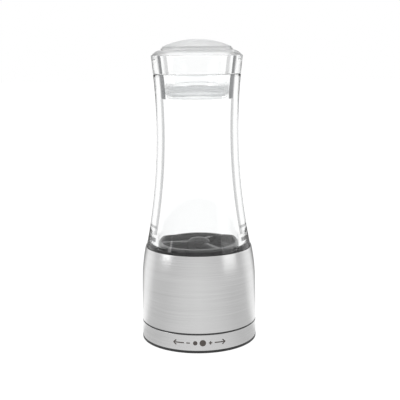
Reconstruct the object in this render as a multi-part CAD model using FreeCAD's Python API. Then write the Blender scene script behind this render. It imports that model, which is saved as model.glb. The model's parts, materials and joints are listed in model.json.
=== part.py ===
import FreeCAD, Part
import math
import os
from FreeCAD import Vector

# Pepper mill. Origin at the centre of the foot rim's underside, +Z up along the turning axis.
# Millimetres and degrees.

# ---- Heights, stacked from the table up ----
foot_height = 1.3            # black foot rim under the steel band
band_height = 8.7            # steel band of the grind adjuster
seam_height = 0.8            # seam between the adjuster and the sleeve
sleeve_height = 41.5         # steel sleeve
chamber_height = 94.4        # clear body above the sleeve
cap_side_height = 9.8        # side wall of the cap, up to its corner
cap_shoulder_height = 3.0    # rise of the cap's rounded shoulder
lens_step_height = 0.9       # lens rim standing above the shoulder
dome_start_height = 0.8      # straight side of the dome above the lens rim
dome_rise = 4.0              # crown of the dome

# ---- Outer radii ----
base_r = 31.9                # band and lower edge of the sleeve
foot_proud = 0.1             # foot rim standing out past the band
belt_draw = 0.35             # sleeve drawn in where its shoulder starts
sleeve_belt_height = 23.2    # height of that start above the sleeve's lower edge
bow_draw = 0.95              # sleeve drawn in half way round its shoulder
rim_draw = 2.4               # sleeve drawn in at its upper edge
sleeve_wall = 0.4            # drawn steel sheet
band_wall = 0.65             # steel of the adjuster band
waist_r = 22.3               # slimmest place of the clear body
waist_height = 64.2          # that place above the sleeve's rim
seam_gap = 0.15              # joint between the cap and the clear body
cap_corner_round = 0.6       # rounding at the top of the cap's side
shoulder_bow_drop = 1.0      # middle of the cap's shoulder below its top
foot_round = 0.1
edge_round = 0.3             # small broken edges

# ---- Clear body ----
chamber_wall = 4.25          # wall of the upper, waisted part
chamber_low_wall = 4.9       # wall between the lower bore and the neck
neck_draw = 1.0              # neck that turns in the base, inside the body's edge at the rim
snap_reach = 0.8             # snap flange standing out past the neck
body_flange_height = 3.1
body_depth = 12.3            # how far the body reaches below the sleeve's rim
body_shoulder_drop = 1.4     # shoulder that rides on the base housing, below the rim

# ---- Cap ----
plug_gap = 1.4               # plug inside the chamber's bore
plug_depth = 12.9            # plug below the joint between cap and body
plug_floor = 6.9             # solid bottom of the plug
plug_lip = 1.9               # rounded lip that holds the seal ring
plug_round = 0.95
plug_wall = 4.85             # wall beside the narrow lower part of the hollow in the cap
seal_height = 5.2
seal_groove = 1.45           # depth of the seal's groove
seal_reach = 0.55            # seal between its two lips, standing out past the plug
cavity_step = 2.2            # the hollow widens by this above the joint
cavity_flare = 1.1           # and by this on its way up to the lens
cavity_step_height = 1.0     # step of the hollow above the joint
lens_inset = 2.9             # lens inside the radius of the body's waist
lens_seat_depth = 2.8        # lens seat below the top of the shoulder
dome_inset = 0.8             # dome inside the lens rim

# ---- Drive carrier ----
carrier_stand = 2.0          # carrier above the sleeve's rim
carrier_play = 0.2           # carrier inside the lower bore
carrier_wall = 1.8
flange_land = 4.4            # carrier flange reaching past the lower bore
carrier_flange = 2.0
mouth_wall = 2.0             # rim of the carrier round the funnel's mouth
funnel_wall = 3.2            # wall where the funnel's cone starts
funnel_start_drop = 5.3      # that place below the carrier's top
throat_r = 11.3
throat_height = 3.0          # straight throat above the carrier's bottom
hub_r = 6.3
hub_low_r = 5.0
hub_height = 4.0             # hub's underside above the carrier's bottom
hub_waist_drop = 6.3         # narrow part of the hub ends this far below the carrier's top
boss_rise = 1.9              # domed cover of the hub above the carrier's top
arm_drop = 1.1               # top of the bridge arms below the carrier's top
arm_height = 5.2
arm_width = 4.0
arm_round = 1.0
arm_first_angle = 65.0
key_first_angle = 60.0
key_reach = 3.0              # drive keys reaching past the lower bore into the body
key_width = 5.0
key_height = 2.5
screw_shank_r = 1.0
screw_head_r = 2.1
screw_head = 1.4
screw_length = 8.0
drive_screw_reach = 2.6      # circle of the drive screws, outside the lower bore
retainer_screw_reach = 4.3   # circle of the stator's screws, outside the stator
screw_first_angle = 30.0     # first of the stator's screws
screw_recess_r = 0.9         # hole in a screw's head

# ---- Burr and shaft ----
shaft_flats = 5.0            # across the flats of the hexagonal shaft
shaft_neck_r = 2.5
shaft_tip_r = 2.0
shaft_collar_r = 4.4
shaft_collar = 1.3
shaft_top_gap = 3.0          # shaft end below the end of its socket
stator_r = 16.5
stator_height = 13.9
burr_mouth_wall = 5.0        # stator's wall at its top
burr_exit_wall = 2.9         # stator's wall at its bottom
burr_gap = 0.4               # grinding gap between stator and rotor
rotor_top_r = 5.6
rotor_height = 14.0
fine_height = 4.0            # band of fine teeth at the rotor's foot
rotor_sink = 1.0             # rotor's foot below the stator's foot
coarse_teeth = 7
fine_teeth = 36
stator_teeth = 30
groove_overrun = 0.1         # share of its length by which a groove's cutter runs past each end
coarse_depth = 1.6
fine_depth = 0.35
tooth_spread = 3.0           # width of a groove as a multiple of its depth
coarse_skew = 40.0           # turn of a groove from its foot to its top
fine_skew = 6.0
stator_skew = -12.0
washer_r = 5.6
washer_height = 0.6
spring_r = 4.3               # centre line of the coil
spring_wire = 0.8
spring_turns = 3.5

# ---- Base housing ----
housing_wall = 1.5
skirt_gap = 3.35             # room for the bridge's ends, between the skirt and the adjuster
skirt_wall = 2.0
skirt_low_z = 2.6
bead_reach = 1.0             # snap bead that holds the adjuster
bead_height = 1.5
web_lift = 5.3               # underside of the web above the stator's foot
web_height = 2.2
stator_seat_wall = 2.0
seat_lip = 0.8               # lip over the stator
seat_lip_reach = 1.9         # lip reaching in over the stator
rib_count = 6
rib_width = 1.4
rib_height = 4.6             # ribs above the web
rib_first_angle = 30.0
flange_height = 1.5          # lower flange that fills the sleeve
boss_r = 2.4
seat_ridge_r = 1.1           # ridges that stop the stator turning
retainer_bore_gap = 1.2      # retainer clear of the burr's exit
retainer_edge = 2.2          # retainer past the circle of its screws
retainer_height = 2.0

# ---- Grind adjuster and lift bridge ----
core_wall = 1.9
ledge_height = 1.4
bridge_z = 7.2               # underside of the bridge at rest
bridge_arm_height = 2.6
bridge_arm_width = 5.0
bridge_end_gap = 0.45        # bridge's ends short of the adjuster
bridge_hub_r = 5.4
bridge_hub_height = 5.0
bridge_floor = 1.0
cup_r = 3.1
cup_floor = 1.15
cup_height = 3.8
adjust_angle = 45.0          # adjuster's travel each way
lift_travel = 0.6            # rotor's travel each way
cam_steps = 13
cam_gap = 1.2                # cam track clear of the skirt
glide_width = 2.05
first_lug_angle = 90.0

# ---- Printed marks ----
ink_height = 0.03
small_dot_r = 1.2
large_dot_r = 1.75
small_dot_x = -2.2
large_dot_x = 1.85
sign_x = 6.0
sign_size = 1.9
stroke = 0.62
arrow_start_x = 8.2
arrow_length = 5.9
barb_length = 1.7            # barbs of the arrow, back from its tip
barb_spread = 1.35           # and out from its line
barb_corner = 1.1            # inner corner of the barbs, back from the tip

# ---- Clearances ----
running = 0.08               # turning and sliding fits
snap_play = 0.3              # height play of the snapped-in body
thrust_play = 0.1            # height play at thrust faces
seat_play = 0.05             # parts that are pressed or screwed together
slot_play = 0.15             # bridge arms in the skirt's slots
screw_play = 0.15            # screws in their clearance holes
stator_play = 0.4            # stator's seat below the turning carrier
past = 1.0                   # how far a cutter runs past what it cuts

# ---- Levels that follow from the heights ----
band_top_z = foot_height + band_height
sleeve_low_z = band_top_z + seam_height
rim_z = sleeve_low_z + sleeve_height
waist_z = rim_z + waist_height
joint_z = rim_z + chamber_height
cap_low_z = joint_z + seam_gap
cap_corner_z = joint_z + cap_side_height
cap_shoulder_z = cap_corner_z + cap_shoulder_height
lens_rim_z = cap_shoulder_z + lens_step_height
dome_low_z = lens_rim_z + dome_start_height
top_z = dome_low_z + dome_rise
body_low_z = rim_z - body_depth
carrier_low_z = body_low_z - carrier_flange
carrier_top_z = rim_z + carrier_stand
hub_low_z = carrier_low_z + hub_height
plug_low_z = joint_z - plug_depth
housing_top_z = rim_z - body_shoulder_drop - thrust_play
stator_top_z = carrier_low_z - 2 * thrust_play - seat_lip - stator_play
stator_low_z = stator_top_z - stator_height
rotor_low_z = stator_low_z - rotor_sink
rotor_top_z = rotor_low_z + rotor_height
washer_top_z = rotor_top_z + washer_height
web_low_z = stator_low_z + web_lift
sleeve_belt_z = sleeve_low_z + sleeve_belt_height
sleeve_bow_z = (sleeve_belt_z + rim_z) / 2
bead_top_z = skirt_low_z + bead_height
band_middle_z = foot_height + band_height / 2

# ---- Radii that follow ----
foot_r = base_r + foot_proud
sleeve_belt_r = base_r - belt_draw
sleeve_bow_r = base_r - bow_draw
sleeve_rim_r = base_r - rim_draw
chamber_waist_r = waist_r - chamber_wall
body_rim_r = sleeve_rim_r - sleeve_wall - 2 * running
body_neck_r = body_rim_r - neck_draw
body_flange_r = body_neck_r + snap_reach
chamber_low_r = body_neck_r - chamber_low_wall
carrier_r = chamber_low_r - carrier_play
carrier_flange_r = chamber_low_r + flange_land
mouth_r = carrier_r - mouth_wall
funnel_r = carrier_r - funnel_wall
key_r = chamber_low_r + key_reach
drive_screw_r = chamber_low_r + drive_screw_reach
flare_reach = body_rim_r - waist_r
flare_r = (waist_height ** 2 + flare_reach ** 2) / (2 * flare_reach)
housing_r = sleeve_belt_r - sleeve_wall - slot_play
core_r = base_r - band_wall
core_inner_r = core_r - core_wall
skirt_r = core_inner_r - skirt_gap
skirt_inner_r = skirt_r - skirt_wall
bead_r = skirt_r + bead_reach
cam_inner_r = skirt_r + cam_gap
cam_outer_r = core_inner_r - slot_play
bridge_arm_r = core_inner_r - bridge_end_gap
plug_r = chamber_waist_r - plug_gap
seal_core_r = plug_r - seal_groove
lens_r = waist_r - lens_inset
dome_r = lens_r - dome_inset
burr_mouth_r = stator_r - burr_mouth_wall
burr_exit_r = stator_r - burr_exit_wall
retainer_screw_r = stator_r + retainer_screw_reach
retainer_r = retainer_screw_r + retainer_edge
shaft_corner_r = shaft_flats / math.sqrt(3)


def flare(waist, z):
    """Radius at height z of a surface that is slimmest at the waist and flares both ways."""
    return waist + flare_r - math.sqrt(flare_r ** 2 - (z - waist_z) ** 2)


def flare_bow(waist, start_z, end_z):
    """Arc step of an outline that follows the flare from start_z to end_z."""
    middle_z = (start_z + end_z) / 2
    return (flare(waist, middle_z), middle_z, flare(waist, end_z), end_z)


def crown_bow(edge_r, edge_z, pole_z):
    """Arc step from an edge to the axis, level where it meets the axis."""
    rise = pole_z - edge_z
    ball_r = (edge_r ** 2 + rise ** 2) / (2 * abs(rise))
    middle_r = edge_r / 2
    sink = ball_r - math.sqrt(ball_r ** 2 - middle_r ** 2)
    return (middle_r, pole_z - math.copysign(sink, rise), 0, pole_z)


def turned(outline):
    """Solid turned about Z. An outline step is (r, z), or (through_r, through_z, r, z) for an arc."""
    edges = []
    here = Vector(outline[-1][-2], 0, outline[-1][-1])
    for step in outline:
        there = Vector(step[-2], 0, step[-1])
        if len(step) == 4:
            edges.append(Part.Arc(here, Vector(step[0], 0, step[1]), there).toShape())
        else:
            edges.append(Part.LineSegment(here, there).toShape())
        here = there
    return Part.Face(Part.Wire(edges)).revolve(Vector(0, 0, 0), Vector(0, 0, 1), 360)


def rounding(side_r, end_z, radius):
    """Quarter-circle step from a flat bottom at end_z up to a side at side_r."""
    sag = radius * (1 - math.sqrt(0.5))
    return (side_r - sag, end_z + sag, side_r, end_z + radius)


def ring(inner_r, outer_r, low_z, high_z):
    return turned([(inner_r, low_z), (outer_r, low_z), (outer_r, high_z), (inner_r, high_z)])


def rod(radius, low_z, high_z, place_r=0.0):
    """Upright cylinder that stands on the +X axis at place_r."""
    return Part.makeCylinder(radius, high_z - low_z, Vector(place_r, 0, low_z))


def spoke(width, inner_r, outer_r, low_z, high_z):
    """Straight block along +X."""
    corner = Vector(inner_r, -width / 2, low_z)
    return Part.makeBox(outer_r - inner_r, width, high_z - low_z, corner)


def hexagon(flats, low_z, high_z):
    corner_r = flats / math.sqrt(3)
    corners = [Vector(corner_r * math.cos(math.radians(60 * k)),
                      corner_r * math.sin(math.radians(60 * k)), low_z) for k in range(7)]
    return Part.Face(Part.makePolygon(corners)).extrude(Vector(0, 0, high_z - low_z))


def turn(shape, angle):
    copy = shape.copy()
    copy.rotate(Vector(0, 0, 0), Vector(0, 0, 1), angle)
    return copy


def around(shape, count, first_angle=0.0):
    """Copies of a shape, evenly spaced about Z."""
    return [turn(shape, first_angle + 360.0 * k / count) for k in range(count)]


def groove(low_r, low_z, high_r, high_z, depth, skew):
    """Four-sided cutter along a cone's side, centred on the cone and turned by skew over its length."""
    half_width = depth * tooth_spread / 2
    start = Vector(low_r, 0, low_z)
    end = turn(Part.Vertex(high_r, 0, high_z), skew).Point
    run = end - start
    overrun = run * groove_overrun
    tip = start - overrun
    section = [tip + Vector(-depth, 0, 0), tip + Vector(0, half_width, 0),
               tip + Vector(depth, 0, 0), tip + Vector(0, -half_width, 0), tip + Vector(-depth, 0, 0)]
    return Part.Face(Part.makePolygon(section)).extrude(run + overrun * 2)


def screw(head_low_z, place_r):
    """Pan-head screw pointing up, its head's underside resting on the piece above it."""
    head_top_z = head_low_z + screw_head
    body = turned([(0, head_low_z), (screw_head_r - edge_round, head_low_z),
                   (screw_head_r, head_low_z + edge_round), (screw_head_r, head_top_z),
                   (screw_shank_r, head_top_z), (screw_shank_r, head_top_z + screw_length - edge_round),
                   (0, head_top_z + screw_length)])
    body = body.cut(rod(screw_recess_r, head_low_z, head_low_z + screw_head / 2))
    body.translate(Vector(place_r, 0, 0))
    return body


# ---- Cap ----

def dome_lens():
    seat_z = cap_shoulder_z - lens_seat_depth
    return turned([(0, seat_z), (lens_r, seat_z), (lens_r, lens_rim_z - edge_round),
                   (lens_r - edge_round, lens_rim_z), (dome_r + edge_round / 2, lens_rim_z),
                   (dome_r, dome_low_z), crown_bow(dome_r, dome_low_z, top_z)])


def cap_stopper():
    seat_z = cap_shoulder_z - lens_seat_depth
    step_z = joint_z + cavity_step_height
    floor_z = plug_low_z + plug_floor
    groove_low_z = plug_low_z + plug_lip
    corner_r = flare(waist_r, cap_corner_z)
    corner_top_z = cap_corner_z + edge_round
    corner_sag = cap_corner_round * (1 - math.sqrt(0.5))
    side_top_z = corner_top_z - cap_corner_round
    seat_r = lens_r + seat_play
    shoulder_r = seat_r + edge_round
    cavity_low_r = plug_r - plug_wall
    cavity_mid_r = cavity_low_r + cavity_step
    cavity_top_r = cavity_mid_r + cavity_flare
    return turned([
        (0, plug_low_z), (plug_r - plug_round, plug_low_z), rounding(plug_r, plug_low_z, plug_round),
        (plug_r, groove_low_z), (seal_core_r, groove_low_z), (seal_core_r, groove_low_z + seal_height),
        (plug_r, groove_low_z + seal_height), (plug_r, cap_low_z), (flare(waist_r, cap_low_z), cap_low_z),
        flare_bow(waist_r, cap_low_z, side_top_z),
        (corner_r - corner_sag, corner_top_z - corner_sag, corner_r - cap_corner_round, corner_top_z),
        ((corner_r + shoulder_r) / 2, cap_shoulder_z - shoulder_bow_drop, shoulder_r, cap_shoulder_z),
        (seat_r, cap_shoulder_z), (seat_r, seat_z), (cavity_top_r, seat_z),
        (cavity_mid_r, step_z + edge_round), (cavity_mid_r, step_z), (cavity_low_r, step_z - edge_round),
        (cavity_low_r, floor_z), (0, floor_z)])


def seal_ring():
    low_z = plug_low_z + plug_lip
    lip_r = chamber_waist_r - running
    seal_side_r = plug_r + seal_reach
    half = seal_height / 2
    return turned([(seal_core_r, low_z), (seal_side_r, low_z),
                   (lip_r, low_z + half / 2, seal_side_r, low_z + half),
                   (lip_r, low_z + half * 1.5, seal_side_r, low_z + seal_height),
                   (seal_core_r, low_z + seal_height)])


# ---- Turning body ----

def clear_body():
    low_bore_reach = chamber_low_r - chamber_waist_r
    low_bore_z = waist_z - math.sqrt(flare_r ** 2 - (flare_r - low_bore_reach) ** 2)
    shoulder_z = rim_z - body_shoulder_drop
    flange_top_z = body_low_z + body_flange_height
    body = turned([
        (chamber_low_r, body_low_z), (body_flange_r - edge_round, body_low_z),
        (body_flange_r, body_low_z + edge_round), (body_flange_r, flange_top_z), (body_neck_r, flange_top_z),
        (body_neck_r, shoulder_z), (body_rim_r - edge_round, shoulder_z),
        (body_rim_r, shoulder_z + edge_round), (body_rim_r, rim_z),
        flare_bow(waist_r, rim_z, joint_z), (chamber_waist_r, joint_z), (chamber_waist_r, waist_z),
        flare_bow(chamber_waist_r, waist_z, low_bore_z)])
    notch = spoke(key_width + 2 * seat_play, chamber_low_r - past, key_r + seat_play,
                  body_low_z - past, body_low_z + key_height + seat_play)
    pilot = rod(screw_shank_r + seat_play, body_low_z - past,
                carrier_low_z + screw_length + thrust_play, drive_screw_r)
    return body.cut(around(notch, 3, key_first_angle) + around(pilot, 3))


def drive_carrier():
    """Funnel that takes the pepper to the burr, with a bridge that turns the shaft."""
    tube_r = throat_r + carrier_wall
    inner_r = carrier_r - carrier_wall
    mouth_z = carrier_top_z - funnel_start_drop
    throat_z = carrier_low_z + throat_height
    slope = (mouth_z - throat_z) / (funnel_r - throat_r)
    drop = carrier_wall * math.hypot(1, slope)
    tube_top_z = throat_z + slope * carrier_wall - drop
    under_top_z = throat_z + slope * (inner_r - throat_r) - drop
    flange_z = carrier_low_z + carrier_flange
    funnel = turned([
        (throat_r, carrier_low_z), (tube_r, carrier_low_z), (tube_r, tube_top_z), (inner_r, under_top_z),
        (inner_r, carrier_low_z), (carrier_flange_r, carrier_low_z), (carrier_flange_r, flange_z),
        (carrier_r, flange_z), (carrier_r, carrier_top_z - edge_round),
        (carrier_r - edge_round, carrier_top_z), (mouth_r, carrier_top_z), (funnel_r, mouth_z),
        (throat_r, throat_z)])
    arm_top_z = carrier_top_z - arm_drop
    waist_top_z = carrier_top_z - hub_waist_drop
    hub = turned([
        (0, hub_low_z), (hub_low_r, hub_low_z), (hub_low_r, waist_top_z),
        (hub_r, waist_top_z + hub_r - hub_low_r), (hub_r, arm_top_z),
        crown_bow(hub_r, arm_top_z, carrier_top_z + boss_rise)])
    arm = spoke(arm_width, 0, inner_r, arm_top_z - arm_height, arm_top_z)
    long_edges = [edge for edge in arm.Edges
                  if edge.BoundBox.XLength > arm_width and edge.CenterOfMass.z > arm_top_z - edge_round]
    arm = arm.makeFillet(arm_round, long_edges)
    key = spoke(key_width, carrier_r - past, key_r, flange_z, flange_z + key_height)
    socket = hexagon(shaft_flats + 2 * running, hub_low_z - past, arm_top_z)
    hole = rod(screw_shank_r + screw_play, carrier_low_z - past, flange_z + past, drive_screw_r)
    carrier = funnel.fuse([hub] + around(arm, 3, arm_first_angle) + around(key, 3, key_first_angle))
    return carrier.cut([socket] + around(hole, 3))


def drive_screws():
    return Part.makeCompound(around(screw(carrier_low_z - screw_head, drive_screw_r), 3))


def rotor_spring():
    wire_r = spring_wire / 2
    low_z = washer_top_z + wire_r + seat_play
    height = hub_low_z - washer_top_z - spring_wire - 2 * seat_play
    helix = Part.makeHelix(height / spring_turns, height, spring_r)
    section = Part.Wire(Part.makeCircle(wire_r, Vector(spring_r, 0, 0), Vector(0, 1, 0)))
    spring = Part.Wire(helix.Edges).makePipeShell([section], True, True)
    spring.translate(Vector(0, 0, low_z))
    return spring


# ---- Rotor ----

def stator_bore(z):
    share = (z - stator_low_z) / stator_height
    return burr_exit_r + (burr_mouth_r - burr_exit_r) * share


def rotor_cone():
    fine_top_z = stator_low_z + fine_height
    fine_top_r = stator_bore(fine_top_z) - burr_gap
    rotor_foot_r = stator_bore(rotor_low_z) - burr_gap
    cone = turned([(0, rotor_low_z), (rotor_foot_r, rotor_low_z), (fine_top_r, fine_top_z),
                   (rotor_top_r, rotor_top_z), (0, rotor_top_z)])
    coarse = groove(fine_top_r, fine_top_z, rotor_top_r, rotor_top_z, coarse_depth, coarse_skew)
    fine = groove(rotor_foot_r, rotor_low_z, fine_top_r, fine_top_z, fine_depth, fine_skew)
    socket = hexagon(shaft_flats + 2 * seat_play, rotor_low_z - past, rotor_top_z + past)
    return cone.cut(around(coarse, coarse_teeth) + around(fine, fine_teeth) + [socket])


def bridge_cup_floor_z():
    return bridge_z + bridge_floor + cup_floor


def drive_shaft():
    collar_low_z = rotor_low_z - shaft_collar
    neck_low_z = bridge_z + bridge_hub_height + 2 * lift_travel
    tip_z = bridge_cup_floor_z() + seat_play
    socket_end_z = carrier_top_z - arm_drop
    lower = turned([(0, tip_z), rounding(shaft_tip_r, tip_z, shaft_tip_r), (shaft_tip_r, neck_low_z),
                    (shaft_neck_r, neck_low_z + edge_round), (shaft_neck_r, collar_low_z), (shaft_collar_r, collar_low_z),
                    (shaft_collar_r, rotor_low_z), (0, rotor_low_z)])
    return lower.fuse(hexagon(shaft_flats, rotor_low_z - shaft_collar / 2, socket_end_z - shaft_top_gap))


def spring_washer():
    return ring(shaft_corner_r + seat_play, washer_r, rotor_top_z, washer_top_z)


# ---- Fixed base ----

def sleeve_outline(offset):
    """Steps up the sleeve's outside, moved inwards by offset."""
    edge_z = rim_z - sleeve_wall / 2
    return [(base_r - offset, sleeve_low_z), (sleeve_belt_r - offset, sleeve_belt_z),
            (sleeve_bow_r - offset, sleeve_bow_z, sleeve_rim_r - offset, edge_z)]


def steel_sleeve():
    outside = sleeve_outline(0.0)
    inside = sleeve_outline(sleeve_wall)
    inner_rim = inside[2]
    rolled_edge = (sleeve_rim_r - sleeve_wall / 2, rim_z, inner_rim[2], inner_rim[3])
    back_down = (inner_rim[0], inner_rim[1], inside[1][0], inside[1][1])
    return turned(outside + [rolled_edge, back_down, inside[0]])


def base_housing():
    """Moulding that bears the clear body, seats the stator and guides the lift bridge."""
    top_r = sleeve_rim_r - sleeve_wall - slot_play
    inner_r = housing_r - housing_wall
    lip_z = body_low_z + body_flange_height + snap_play
    neck_r = body_neck_r + 2 * running
    flange_r = base_r - sleeve_wall - seat_play * 2
    web_top_z = web_low_z + web_height
    seat_r = stator_r + seat_play
    seat_outer_r = seat_r + stator_seat_wall
    lip_r = stator_r - seat_lip_reach
    seat_top_z = stator_top_z + seat_lip
    shell = turned([
        (skirt_inner_r, skirt_low_z), (skirt_r, skirt_low_z), (bead_r, skirt_low_z + bead_height / 2),
        (bead_r, bead_top_z), (skirt_r, bead_top_z), (skirt_r, web_low_z), (inner_r, web_low_z),
        (inner_r, sleeve_low_z), (flange_r, sleeve_low_z), (flange_r, sleeve_low_z + flange_height),
        (housing_r, sleeve_low_z + flange_height + edge_round), (housing_r, sleeve_belt_z),
        (sleeve_bow_r - sleeve_wall - slot_play, sleeve_bow_z, top_r, housing_top_z), (neck_r, housing_top_z),
        (neck_r, lip_z), (inner_r, lip_z), (inner_r, web_top_z), (seat_outer_r, web_top_z),
        (seat_outer_r, seat_top_z), (lip_r, seat_top_z), (lip_r, stator_top_z),
        (seat_r, stator_top_z), (seat_r, stator_low_z), (seat_outer_r, stator_low_z),
        (seat_outer_r, web_low_z), (skirt_inner_r, web_low_z)])
    rib = spoke(rib_width, seat_outer_r - edge_round, inner_r + edge_round, web_top_z,
                web_top_z + rib_height)
    boss = rod(boss_r, stator_low_z, web_low_z + past, retainer_screw_r)
    ridge = rod(seat_ridge_r, stator_low_z, stator_top_z, seat_r + seat_ridge_r / 2)
    slot = spoke(bridge_arm_width + 2 * slot_play, skirt_inner_r - past, bead_r + past,
                 skirt_low_z - past,
                 bridge_z + bridge_arm_height + 2 * lift_travel + slot_play)
    pilot = rod(screw_shank_r + seat_play, stator_low_z - past, stator_low_z + screw_length + past,
                retainer_screw_r)
    solid = shell.fuse(around(rib, rib_count, rib_first_angle) + around(boss, 3, screw_first_angle)
                       + around(ridge, 3, first_lug_angle))
    return solid.cut(around(slot, 3, first_lug_angle) + around(pilot, 3, screw_first_angle))


def stator_ring():
    body = turned([(burr_exit_r, stator_low_z), (stator_r, stator_low_z), (stator_r, stator_top_z),
                   (burr_mouth_r, stator_top_z)])
    tooth = groove(burr_exit_r, stator_low_z, burr_mouth_r, stator_top_z, fine_depth, stator_skew)
    notch = rod(seat_ridge_r + seat_play, stator_low_z - past, stator_top_z + past,
                stator_r + seat_play + seat_ridge_r / 2)
    return body.cut(around(tooth, stator_teeth) + around(notch, 3, first_lug_angle))


def stator_retainer():
    top_z = stator_low_z
    low_z = top_z - retainer_height
    hole = rod(screw_shank_r + screw_play, low_z - past, top_z + past, retainer_screw_r)
    retainer_inner_r = burr_exit_r + retainer_bore_gap
    return ring(retainer_inner_r, retainer_r, low_z, top_z).cut(around(hole, 3, screw_first_angle))


def stator_screws():
    head_low_z = stator_low_z - retainer_height - screw_head
    return Part.makeCompound(around(screw(head_low_z, retainer_screw_r), 3, screw_first_angle))


def glide_ring():
    outer_r = base_r - slot_play
    return ring(outer_r - glide_width, outer_r, band_top_z + thrust_play, sleeve_low_z)


# ---- Grind adjuster and lift bridge ----

def cam_step(number):
    """One step of a cam track, kept under the bridge's lug all along the adjuster's travel."""
    lug_angle = math.degrees(bridge_arm_width / 2 / cam_inner_r)
    track_angle = 2 * (adjust_angle + lug_angle)
    step_angle = track_angle / cam_steps
    start_angle = -track_angle / 2 + number * step_angle
    slope = lift_travel / adjust_angle
    top = bridge_z - seat_play + slope * (start_angle - lug_angle)
    ledge_z = bead_top_z + thrust_play
    section = Part.makePolygon([Vector(cam_inner_r, 0, ledge_z), Vector(cam_outer_r, 0, ledge_z),
                                Vector(cam_outer_r, 0, top), Vector(cam_inner_r, 0, top),
                                Vector(cam_inner_r, 0, ledge_z)])
    step = Part.Face(section).revolve(Vector(0, 0, 0), Vector(0, 0, 1), step_angle)
    return turn(step, start_angle)


def adjuster_core():
    ledge_z = bead_top_z + thrust_play
    ledge_top_z = ledge_z + ledge_height
    ledge_r = skirt_r + running
    tube = turned([
        (core_inner_r, 0), (foot_r - foot_round, 0), (foot_r, foot_round), (foot_r, foot_height),
        (core_r, foot_height), (core_r, band_top_z), (core_inner_r, band_top_z), (core_inner_r, ledge_top_z),
        (ledge_r, ledge_top_z), (ledge_r, ledge_z), (core_inner_r, ledge_z)])
    steps = [cam_step(number) for number in range(cam_steps)]
    track = steps[0].fuse(steps[1:])
    return tube.fuse(around(track, 3, first_lug_angle)).removeSplitter()


def adjuster_band():
    return turned([(core_r, foot_height), (base_r - edge_round / 2, foot_height),
                   (base_r, foot_height + edge_round / 2), (base_r, band_top_z - edge_round),
                   (base_r - edge_round, band_top_z), (core_r, band_top_z)])


def flat_mark(points):
    """Outline of (x, z) points in front of the band, as a block that reaches through it."""
    corners = [Vector(x, -base_r - past, band_middle_z + z) for x, z in points]
    return Part.Face(Part.makePolygon(corners + corners[:1])).extrude(Vector(0, past + base_r / 2, 0))


def dot_mark(x, radius):
    start = Vector(x, -base_r - past, band_middle_z)
    return Part.makeCylinder(radius, past + base_r / 2, start, Vector(0, 1, 0))


def bar_mark(x, width, height):
    return flat_mark([(x - width / 2, -height / 2), (x + width / 2, -height / 2),
                      (x + width / 2, height / 2), (x - width / 2, height / 2)])


def arrow_mark(side):
    """Arrow that points to side, -1 for left and 1 for right."""
    tip = arrow_start_x + arrow_length
    half = stroke / 2
    barb = tip - barb_length
    upper = [(arrow_start_x, half), (tip - barb_corner, half), (barb - half, barb_spread - half / 2),
             (barb + half, barb_spread + half / 2)]
    lower = [(x, -z) for x, z in reversed(upper)]
    return flat_mark([(side * x, z) for x, z in upper + [(tip, 0)] + lower])


def grind_marks():
    """Coarse and fine marks: arrows, signs and a small and a large dot, printed on the band."""
    ink = ring(base_r, base_r + ink_height, foot_height + edge_round, band_top_z - edge_round)
    plus = bar_mark(sign_x, sign_size, stroke).fuse(bar_mark(sign_x, stroke, sign_size))
    marks = [arrow_mark(-1), arrow_mark(1), bar_mark(-sign_x, sign_size, stroke), plus,
             dot_mark(small_dot_x, small_dot_r), dot_mark(large_dot_x, large_dot_r)]
    return Part.makeCompound([ink.common(mark).Solids[0] for mark in marks])


def lift_bridge():
    arm = spoke(bridge_arm_width, 0, bridge_arm_r, bridge_z, bridge_z + bridge_arm_height)
    hub = rod(bridge_hub_r, bridge_z, bridge_z + bridge_hub_height)
    pocket = rod(cup_r + seat_play, bridge_z + bridge_floor, bridge_z + bridge_hub_height + past)
    return hub.fuse(around(arm, 3, first_lug_angle)).cut(pocket)


def thrust_cup():
    low_z = bridge_z + bridge_floor
    floor_z = bridge_cup_floor_z()
    bore_r = shaft_tip_r + running
    return turned([(0, low_z), (cup_r, low_z), (cup_r, low_z + cup_height), (bore_r, low_z + cup_height),
                   (bore_r, floor_z), (0, floor_z)])


pieces = [dome_lens, cap_stopper, seal_ring, clear_body, drive_carrier, drive_screws, rotor_spring,
          rotor_cone, drive_shaft, spring_washer, steel_sleeve, base_housing, stator_ring, stator_retainer,
          stator_screws, glide_ring, adjuster_core, adjuster_band, grind_marks, lift_bridge, thrust_cup]

os.makedirs("parts", exist_ok=True)
for piece in pieces:
    shape = piece()
    shape.exportStep("parts/" + piece.__name__ + ".step")
    print(piece.__name__, len(shape.Solids), "solid", round(shape.Volume, 2), "mm3", shape.isValid())
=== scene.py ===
# Pepper mill: clear waisted body and stopper, brushed steel base, black moulded mechanism.
# Lengths are in metres; the model's turning axis is Z.

import json
import math

import bpy
from bpy.props import FloatProperty, FloatVectorProperty, IntProperty, PointerProperty
from mathutils import Matrix, Vector


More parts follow.
